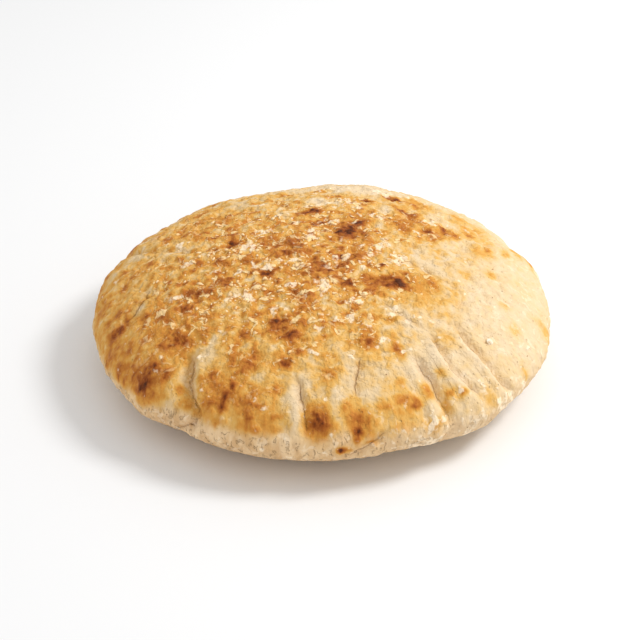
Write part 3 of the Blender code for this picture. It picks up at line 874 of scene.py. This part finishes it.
def uneven_toast(tree, baked, blistered, coarse, fine):
    """The toast with grain in it, most where the crust is brown or blistered."""
    strength = calc(tree, "ADD", baked, 0.10)
    strength = calc(tree, "MULTIPLY", strength, calc(tree, "MULTIPLY_ADD", blistered, 0.40, 0.70))
    fine_share = calc(tree, "MULTIPLY_ADD", blistered, -0.5, 1.0)
    grain = calc(tree, "MULTIPLY_ADD", fine, fine_share, coarse)
    uneven = calc(tree, "MULTIPLY_ADD", grain, strength, baked)
    return calc(tree, "MAXIMUM", uneven, calc(tree, "MULTIPLY", baked, 0.7))


print(len(TOAST_COLOURS), "colours of toast, from cream to burnt")

# %% [markdown]
# Over the toast lie plain tan dough at the rim, dabs of flour, and on golden skin small bright
# flecks, which are painted highlights on the tops of blisters. Pale dough has fine scratches,
# pinholes and chalky dabs. A crease has a thin dark line of painted shade, with a soft painted
# shadow and a few short strokes beside it. Each of these is a mask, so that it can change the colour
# and the bump alike.

# %% Masks of what lies on the toast
def thin_lines(tree, place, size, warp, start, end):
    """Lines along which warped grain crosses its middle value."""
    level = use(tree, GRAIN, Place=place, Size=size, Detail=2.0, Warp=warp)["Value"]
    return fall(tree, calc(tree, "ABSOLUTE", level), start, end)


def tan_dough(tree, down, baked):
    """How much plain dough shows, and its blotchy colour."""
    browned = step(tree, baked, 0.22, 0.50)
    unbrowned = calc(tree, "MULTIPLY_ADD", browned, -0.8, 0.8)
    share = calc(tree, "MULTIPLY", kept(tree, "tan"), unbrowned)
    blotches = step(tree, use(tree, GRAIN, Place=down, Size=4.0, Detail=3.0)["Value"], -0.12, 0.12)
    return share, tint(tree, blotches, *TAN)


def baked_on_flour(tree, place, baked):
    """Dabs of flour, except where the crust burnt."""
    dust = use(tree, FLOUR_DUST, Place=place, Size=3.0, Amount=kept(tree, "flour"))["Mask"]
    return calc(tree, "MULTIPLY", dust, fall(tree, baked, 0.60, 0.80))


def painted_glints(tree, strokes, dabs, baked, blistered):
    """Bright flecks on golden, blistered skin, painted as highlights."""
    glint_shapes = calc(tree, "MAXIMUM", calc(tree, "MULTIPLY", strokes, 0.55), dabs)
    golden = calc(tree, "SUBTRACT", step(tree, baked, 0.20, 0.42), step(tree, baked, 0.52, 0.70))
    return calc(tree, "MULTIPLY", glint_shapes, calc(tree, "MULTIPLY", golden, blistered))


def crease_shade_and_strokes(tree, coarse, strokes):
    """Painted shade in each crease: a dark line and a soft shadow, with short strokes beside it."""
    gap = calc(tree, "ABSOLUTE", calc(tree, "MULTIPLY_ADD", coarse, 1.5, kept(tree, "crease gap")))
    line = fall(tree, gap, 0.05, 0.45)
    shadow = calc(tree, "MULTIPLY", fall(tree, gap, 0.2, 2.4), 0.30)
    beside = calc(tree, "MULTIPLY", calc(tree, "MULTIPLY", fall(tree, gap, 0.5, 4.0), strokes), 0.4)
    shade_and_strokes = calc(tree, "MAXIMUM", line, calc(tree, "MAXIMUM", shadow, beside))
    return calc(tree, "MULTIPLY", shade_and_strokes, kept(tree, "crease share"))


print(f"{np.mean((np.abs(crease_gap) < 2.4) & (crease_share > 0.1)):.1%} of the points are in a crease")

# %% The crust's material
def dress_crust():
    material = bpy.data.materials.new("crust")
    material.use_nodes = True
    tree = material.node_tree
    shader = tree.nodes["Principled BSDF"]
    place = add(tree, "TexCoord").outputs["Object"]
    down = add(tree, "Mapping", {"Vector": place, "Scale": (1, 1, 0.35)}).outputs["Vector"]
    baked = kept(tree, "toast")
    blistered = kept(tree, "blistered")

    # Grain and lines of several sizes, which the masks share
    coarse = use(tree, GRAIN, Place=place, Size=3.2, Detail=3.0, Warp=0.5)["Value"]
    fine = use(tree, GRAIN, Place=down, Size=1.5, Detail=2.0)["Value"]
    broken = step(tree, use(tree, GRAIN, Place=place, Size=2.0, Detail=2.0)["Value"], 0.01, 0.08)
    strokes = calc(tree, "MULTIPLY", thin_lines(tree, place, 4.0, 0.8, 0.014, 0.050), broken)
    scratches = calc(tree, "MULTIPLY", thin_lines(tree, down, 2.6, 0.3, 0.010, 0.045), broken)
    dabs = use(tree, GRAIN, Place=place, Size=3.6, Detail=2.5, Warp=0.7)["Value"]
    dabs = step(tree, dabs, 0.09, 0.15)

    # What lies on the toast
    tan_share, tan_colour = tan_dough(tree, down, baked)
    dust = baked_on_flour(tree, place, baked)
    # Bright flecks on golden skin: painted highlights
    glints = painted_glints(tree, strokes, dabs, baked, blistered)
    plain = calc(tree, "SUBTRACT", 1.0, blistered)
    pale = calc(tree, "SUBTRACT", plain, step(tree, baked, 0.15, 0.40))
    pits = calc(tree, "MULTIPLY", scratches, calc(tree, "MULTIPLY", pale, tan_share))
    chalk = calc(tree, "MULTIPLY", dabs, pale)
    holes = use(tree, PORES, Place=down, Size=1.1, Amount=0.10)["Mask"]
    holes = calc(tree, "MULTIPLY", holes, plain)
    # The creases' painted shade: a dark line and a soft shadow, with strokes beside it
    line = crease_shade_and_strokes(tree, coarse, strokes)

    # Colour: toast, tan dough, and then each mask by its strength
    colour = toast_ramp(tree, uneven_toast(tree, baked, blistered, coarse, fine))
    colour = tint(tree, tan_share, colour, tan_colour)
    layers = ((dust, 0.85, FLOUR_WHITE), (glints, 0.80, GLINT_COLOUR), (pits, 0.38, PORE),
              (chalk, 0.35, FLOUR_WHITE), (holes, 0.35, PORE), (line, 0.75, CREASE_SHADE))
    for mask, strength, above in layers:
        colour = tint(tree, calc(tree, "MULTIPLY", mask, strength), colour, above)
    tree.links.new(colour, shader.inputs["Base Color"])

    # Surface: toasted skin shines a little, flour and plain dough are matt
    dull = calc(tree, "MULTIPLY_ADD", step(tree, baked, 0.2, 0.7), -0.25, 0.82)
    dull = calc(tree, "MAXIMUM", dull, calc(tree, "MULTIPLY", dust, 0.9))
    tree.links.new(dull, shader.inputs["Roughness"])
    shader.inputs["Specular IOR Level"].default_value = 0.15
    height = calc(tree, "MULTIPLY_ADD", fine, 0.9, coarse)
    height = calc(tree, "MULTIPLY", height, calc(tree, "MULTIPLY_ADD", blistered, 0.6, 1.0))
    for mask, rise in ((pits, -0.8), (glints, 0.25), (dust, 0.20), (holes, -0.35), (line, -0.8)):
        height = calc(tree, "MULTIPLY_ADD", mask, rise, height)
    bump = add(tree, "Bump", {"Height": height, "Strength": 1.0, "Distance": 0.8 * MM})
    tree.links.new(bump.outputs["Normal"], shader.inputs["Normal"])
    return material


crust.data.materials.append(dress_crust())
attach(crust, "root")
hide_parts(SOLID)
print("crust material:", len(crust.data.materials[0].node_tree.nodes), "nodes")

# %% [markdown]
# ## Flour grains, bran specks and a crumb
#
# Three kinds of loose bits lie on the crust, each kind one piece of real mesh at its true size.
# Grains of flour stuck together, half a millimetre across, sit on the golden top. Bran specks, thin
# flakes from the husk of the grain, show best on the pale dough. Both are scattered by seeded
# chance, with a share at every point of the skin that says how likely one is there. One bigger
# crumb fell on the right side of the loaf.

# %% Scatter small bits
skin_points = vertex_values(crust.data, "co")
skin_normals = vertex_values(crust.data, "normal")


def rough_ball(rounds):
    """Corners and faces of a ball of triangles."""
    shape = bmesh.new()
    bmesh.ops.create_icosphere(shape, subdivisions=rounds, radius=1)
    corners = np.array([tuple(vert.co) for vert in shape.verts])
    faces = np.array([[vert.index for vert in face.verts] for face in shape.faces])
    shape.free()
    return corners, faces


def scatter(name, count, likely, sizes, proportions, seed):
    """One mesh of many bits. Sizes are half lengths in mm: proportions are long, wide and high."""
    chance = np.random.default_rng(seed)
    likely = np.clip(likely, 0, None)
    spots = chance.choice(len(skin_points), count, p=likely / likely.sum(), replace=False)
    corners, faces = rough_ball(1)
    up = skin_normals[spots]
    side = np.cross(up, chance.normal(size=(count, 3)))
    side /= np.linalg.norm(side, axis=1)[:, None]
    across = np.cross(up, side)
    half = chance.uniform(*sizes, count) ** 1.5 / sizes[1] ** 0.5 * MM
    stretch = half[:, None] * np.array(proportions) * chance.uniform(0.7, 1.3, (count, 3))
    shape = corners[None] * chance.uniform(0.75, 1.25, (count, len(corners), 1)) * stretch[:, None]
    bits = shape[..., :1] * side[:, None] + shape[..., 1:2] * across[:, None]
    bits += shape[..., 2:] * up[:, None]
    bits += (skin_points[spots] + up * stretch[:, 2:] * 0.35)[:, None]
    numbers = faces[None] + np.arange(count)[:, None, None] * len(corners)
    mesh = bpy.data.meshes.new(name)
    mesh.from_pydata(bits.reshape(-1, 3).tolist(), [], numbers.reshape(-1, 3).tolist())
    mesh.shade_smooth()
    piece = bpy.data.objects.new(name, mesh)
    bpy.context.scene.collection.objects.link(piece)
    print(f"{name}: {count} bits, {len(numbers.reshape(-1, 3))} triangles")
    return piece


golden_top = ramp(toast, 0.22, 0.42) * (1 - ramp(arcs, 0.30, 0.60)) * (1 - ramp(toast, 0.46, 0.58))
golden_top *= 0.15 + 0.85 * (1 - ramp(arcs, 0.06 + 0.24 * reach, 0.22 + 0.28 * reach))
clumps = ramp(waves(6.0, seed=31, rounds=3), -0.15, 0.45)
floury = 0.6 * ramp(flour, 0.4, 0.7) * (1 - ramp(arcs, 0.35, 0.55))
flour_flecks = scatter("flour_flecks", 460, 0.15 * golden_top + golden_top * clumps + floury,
                       sizes=(0.26, 0.90), proportions=(1.4, 0.9, 0.22), seed=41)
pale = (1 - ramp(toast, 0.10, 0.35)) * (0.25 + 0.75 * ramp(arcs, 0.35, 0.6))
pale *= 1 - ramp(arcs, 1.9, 2.0)
bran_specks = scatter("bran_specks", 170, pale * (0.3 + clumps), sizes=(0.10, 0.36),
                      proportions=(1.5, 0.8, 0.35), seed=42)

# %% The crumb
CRUMB_ANGLE = 324
CRUMB_ARC = 0.645
CRUMB_HALF = 1.15  # mm


def make_crumb():
    corners, faces = rough_ball(4)
    lumps = np.array([noise.fractal(Vector(corner * 1.3), 1.0, 2.0, 4) for corner in corners])
    under, down, around, out = axes_at(CRUMB_ANGLE, CRUMB_ARC)
    body = corners * (1 + 0.30 * lumps[:, None]) * np.array([1.1, 1.0, 0.55]) * CRUMB_HALF * MM
    placed = skin_points[under] + body[:, :1] * down + body[:, 1:2] * around + body[:, 2:] * out
    placed += out * CRUMB_HALF * 0.2 * MM
    mesh = bpy.data.meshes.new("crumb")
    mesh.from_pydata(placed.tolist(), [], faces.tolist())
    mesh.shade_smooth()
    piece = bpy.data.objects.new("crumb", mesh)
    bpy.context.scene.collection.objects.link(piece)
    return piece


crumb = make_crumb()
print("crumb:", [round(value / MM, 1) for value in crumb.dimensions], "mm")


# %% [markdown]
# The small bits use the same grain as the crust. Flour is chalky and nearly white, bran is a husk
# with a slight shine, and the crumb is the white inside of a loaf, full of holes.

# %% Finishes of the small bits
def dress_bits(name, light, dark, grain_size, roughness, dusty=0.0, holes=0.0):
    material = bpy.data.materials.new(name)
    material.use_nodes = True
    tree = material.node_tree
    shader = tree.nodes["Principled BSDF"]
    place = add(tree, "TexCoord").outputs["Object"]
    grain = use(tree, GRAIN, Place=place, Size=grain_size, Detail=3.0)["Value"]
    colour = tint(tree, step(tree, grain, -0.15, 0.15), dark, light)
    dust = use(tree, FLOUR_DUST, Place=place, Size=0.5, Amount=dusty)["Mask"]
    colour = tint(tree, dust, colour, FLOUR_WHITE)
    pits = use(tree, PORES, Place=place, Size=0.5, Amount=holes)["Mask"]
    colour = tint(tree, calc(tree, "MULTIPLY", pits, 0.5), colour, dark)
    tree.links.new(colour, shader.inputs["Base Color"])
    dull = calc(tree, "MULTIPLY_ADD", grain, 0.3, roughness)
    tree.links.new(dull, shader.inputs["Roughness"])
    height = calc(tree, "MULTIPLY_ADD", pits, -0.6, grain)
    bump = add(tree, "Bump", {"Height": height, "Strength": 0.7, "Distance": 0.12 * MM})
    tree.links.new(bump.outputs["Normal"], shader.inputs["Normal"])
    return material


FLOUR_SHADES = (shade(252, 222, 172), shade(240, 196, 136))
BRAN_SHADES = (shade(200, 156, 104), shade(158, 114, 70))
CRUMB_SHADES = (shade(250, 238, 218), shade(232, 208, 172))
flour_finish = dress_bits("flour", *FLOUR_SHADES, grain_size=1.2, roughness=0.85)
bran_finish = dress_bits("bran", *BRAN_SHADES, grain_size=1.5, roughness=0.6, dusty=0.15)
crumb_finish = dress_bits("crumb", *CRUMB_SHADES, grain_size=0.6, roughness=0.8, holes=0.6)
flour_flecks.data.materials.append(flour_finish)
bran_specks.data.materials.append(bran_finish)
crumb.data.materials.append(crumb_finish)
for piece, slot in ((flour_flecks, "flour"), (bran_specks, "bran"), (crumb, "crumb")):
    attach(piece, "root")
print("materials:", sorted(material.name for material in bpy.data.materials))
